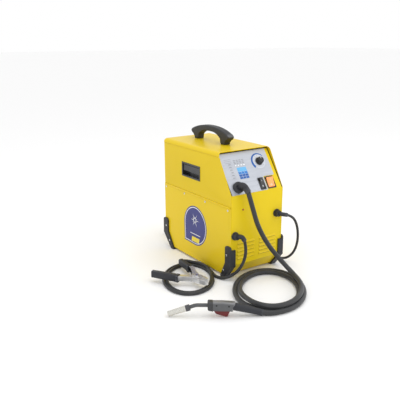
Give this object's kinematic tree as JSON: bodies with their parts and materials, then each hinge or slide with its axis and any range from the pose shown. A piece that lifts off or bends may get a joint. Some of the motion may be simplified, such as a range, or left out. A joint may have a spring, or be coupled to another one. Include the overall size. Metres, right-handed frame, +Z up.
{
  "type": "mig welding machine",
  "caption": "Compact wire-feed welding machine: folded steel case with carrying handle, spool door, torch on a hose, earth clamp and mains lead.",
  "frame": {"origin": "centre of the base plate's underside; the floor is 7 mm lower, where the corner bumpers stand", "axes": "+Z up, the sloped control panel faces -Y, +X to the right of someone facing the panel"},
  "size_m": [0.5959, 0.8508, 0.48],
  "materials": {
    "case_yellow": "satin powder coat",
    "panel_yellow": "satin powder coat",
    "plate_grey": "satin",
    "black_plastic": "matte",
    "black_rubber": "matte",
    "window_black": "gloss",
    "zinc_steel": "satin",
    "copper": "satin",
    "brass_metal": "satin",
    "core_steel": "matte",
    "heat_sink": "satin",
    "board_green": "gloss",
    "torch_grey": "matte",
    "trigger_red": "satin",
    "nozzle_steel": "satin",
    "cable_rubber": "matte",
    "spool_plastic": "matte",
    "wire_steel": "satin",
    "switch_black": "satin",
    "roller_steel": "satin"
  },
  "bodies": {
    "machine": {"base_shell": "case_yellow", "top_cover": "case_yellow", "front_panel": "panel_yellow", "rear_panel": "panel_yellow", "hinge_leaf": "case_yellow", "hinge_pin": "case_yellow", "inner_partition": "zinc_steel", "control_plate": "plate_grey", "top_handle": "black_plastic", "corner_bumpers": "black_rubber", "panel_screws": "zinc_steel", "potentiometer": "zinc_steel", "power_switch": "switch_black", "selector_switch": "switch_black", "torch_outlet": "black_rubber", "ground_gland": "black_rubber", "mains_gland": "black_rubber", "transformer_core": "core_steel", "transformer_windings": "copper", "rectifier": "heat_sink", "control_board": "board_green", "fan_frame": "black_plastic", "feed_motor": "zinc_steel", "feed_plate": "zinc_steel", "spool_holder": "black_plastic", "spool_nut": "black_plastic", "torch_boot": "black_rubber", "torch_handle": "torch_grey", "torch_neck": "brass_metal", "torch_insulator": "black_plastic", "torch_nozzle": "nozzle_steel", "contact_tip": "copper", "clamp_fixed_jaw": "zinc_steel", "clamp_pin": "zinc_steel", "clamp_spring": "zinc_steel", "clamp_fixed_grip": "black_rubber", "torch_hose": "cable_rubber", "torch_hose_coil": "cable_rubber", "ground_cable": "cable_rubber", "ground_cable_coil": "cable_rubber", "mains_lead": "cable_rubber", "mains_lead_coil": "cable_rubber", "mains_plug": "black_rubber"},
    "spool_door": {"side_door": "case_yellow", "latch_cup": "window_black"},
    "door_paddle": {"latch_paddle": "window_black"},
    "door_bolt": {"latch_bolt": "zinc_steel"},
    "speed_dial": {"speed_knob": "black_plastic"},
    "power_key": {"power_rocker": "switch_black"},
    "selector_key": {"selector_rocker": "switch_black"},
    "fan_rotor": {"fan_blades": "black_plastic"},
    "spool": {"wire_spool": "spool_plastic", "wire_pack": "wire_steel"},
    "feed_roller": {"drive_roller": "roller_steel"},
    "idler_arm": {"pressure_arm": "zinc_steel"},
    "idler_roller": {"pressure_roller": "roller_steel"},
    "tension_lever": {"tension_screw": "black_plastic"},
    "trigger": {"torch_trigger": "trigger_red"},
    "clamp_lever": {"clamp_moving_jaw": "zinc_steel", "clamp_moving_grip": "black_rubber"}
  },
  "joints": [
    {"name": "door_hinge", "type": "hinge", "parent": "machine", "child": "spool_door", "pos_m": [-0.1104, 0, 0.244], "axis": [0, -1, 0], "range_deg": [0, 100]},
    {"name": "latch_paddle_lift", "type": "hinge", "parent": "spool_door", "child": "door_paddle", "pos_m": [-0.107, 0, 0.34], "axis": [0, 1, 0], "range_deg": [0, 35]},
    {"name": "latch_bolt_draw", "type": "slide", "parent": "spool_door", "child": "door_bolt", "axis": [0, 0, -1], "range_m": [0, 0.008], "stiffness_N_per_m": 200},
    {"name": "speed_dial_turn", "type": "hinge", "parent": "machine", "child": "speed_dial", "pos_m": [0.05, -0.1501, 0.3702], "axis": [0, -0.8214, 0.5704], "range_deg": [-135, 135]},
    {"name": "power_rock", "type": "hinge", "parent": "machine", "child": "power_key", "pos_m": [0.065, -0.19545, 0.30495], "axis": [-1, 0, 0], "range_deg": [0, 20]},
    {"name": "selector_rock", "type": "hinge", "parent": "machine", "child": "selector_key", "pos_m": [0.0275, -0.1963, 0.3055], "axis": [-1, 0, 0], "range_deg": [0, 20]},
    {"name": "fan_spin", "type": "hinge", "parent": "machine", "child": "fan_rotor", "pos_m": [0.04, 0.19, 0.12], "axis": [0, 1, 0], "continuous": true},
    {"name": "spool_spin", "type": "hinge", "parent": "machine", "child": "spool", "pos_m": [-0.05, 0.11, 0.318], "axis": [1, 0, 0], "continuous": true},
    {"name": "feed_roller_spin", "type": "hinge", "parent": "machine", "child": "feed_roller", "pos_m": [-0.06, -0.08, 0.285], "axis": [1, 0, 0], "continuous": true},
    {"name": "idler_arm_lift", "type": "hinge", "parent": "machine", "child": "idler_arm", "pos_m": [-0.06, -0.05, 0.318], "axis": [-1, 0, 0], "range_deg": [0, 18]},
    {"name": "idler_roller_spin", "type": "hinge", "parent": "idler_arm", "child": "idler_roller", "pos_m": [-0.06, -0.08, 0.3098], "axis": [1, 0, 0], "continuous": true},
    {"name": "tension_lever_tilt", "type": "hinge", "parent": "machine", "child": "tension_lever", "pos_m": [-0.06, -0.108, 0.29], "axis": [1, 0, 0], "range_deg": [0, 60]},
    {"name": "trigger_pull", "type": "hinge", "parent": "machine", "child": "trigger", "pos_m": [-0.29783, -0.38397, 0.018], "axis": [-0.5457, -0.838, 0], "range_deg": [0, 8], "stiffness_Nm_per_rad": 0.3},
    {"name": "clamp_open", "type": "hinge", "parent": "machine", "child": "clamp_lever", "pos_m": [-0.228, -0.1836, 0.021], "axis": [0, 0, -1], "range_deg": [0, 20], "stiffness_Nm_per_rad": 1.2}
  ],
  "couplings": [
    {"joint": "latch_paddle_lift", "follows": "latch_bolt_draw", "rad_per_m": 76.3},
    {"joint": "feed_roller_spin", "follows": "spool_spin", "ratio": -2.9333},
    {"joint": "idler_roller_spin", "follows": "spool_spin", "ratio": 4.8889},
    {"joint": "idler_arm_lift", "follows": "tension_lever_tilt", "ratio": 0.3}
  ]
}
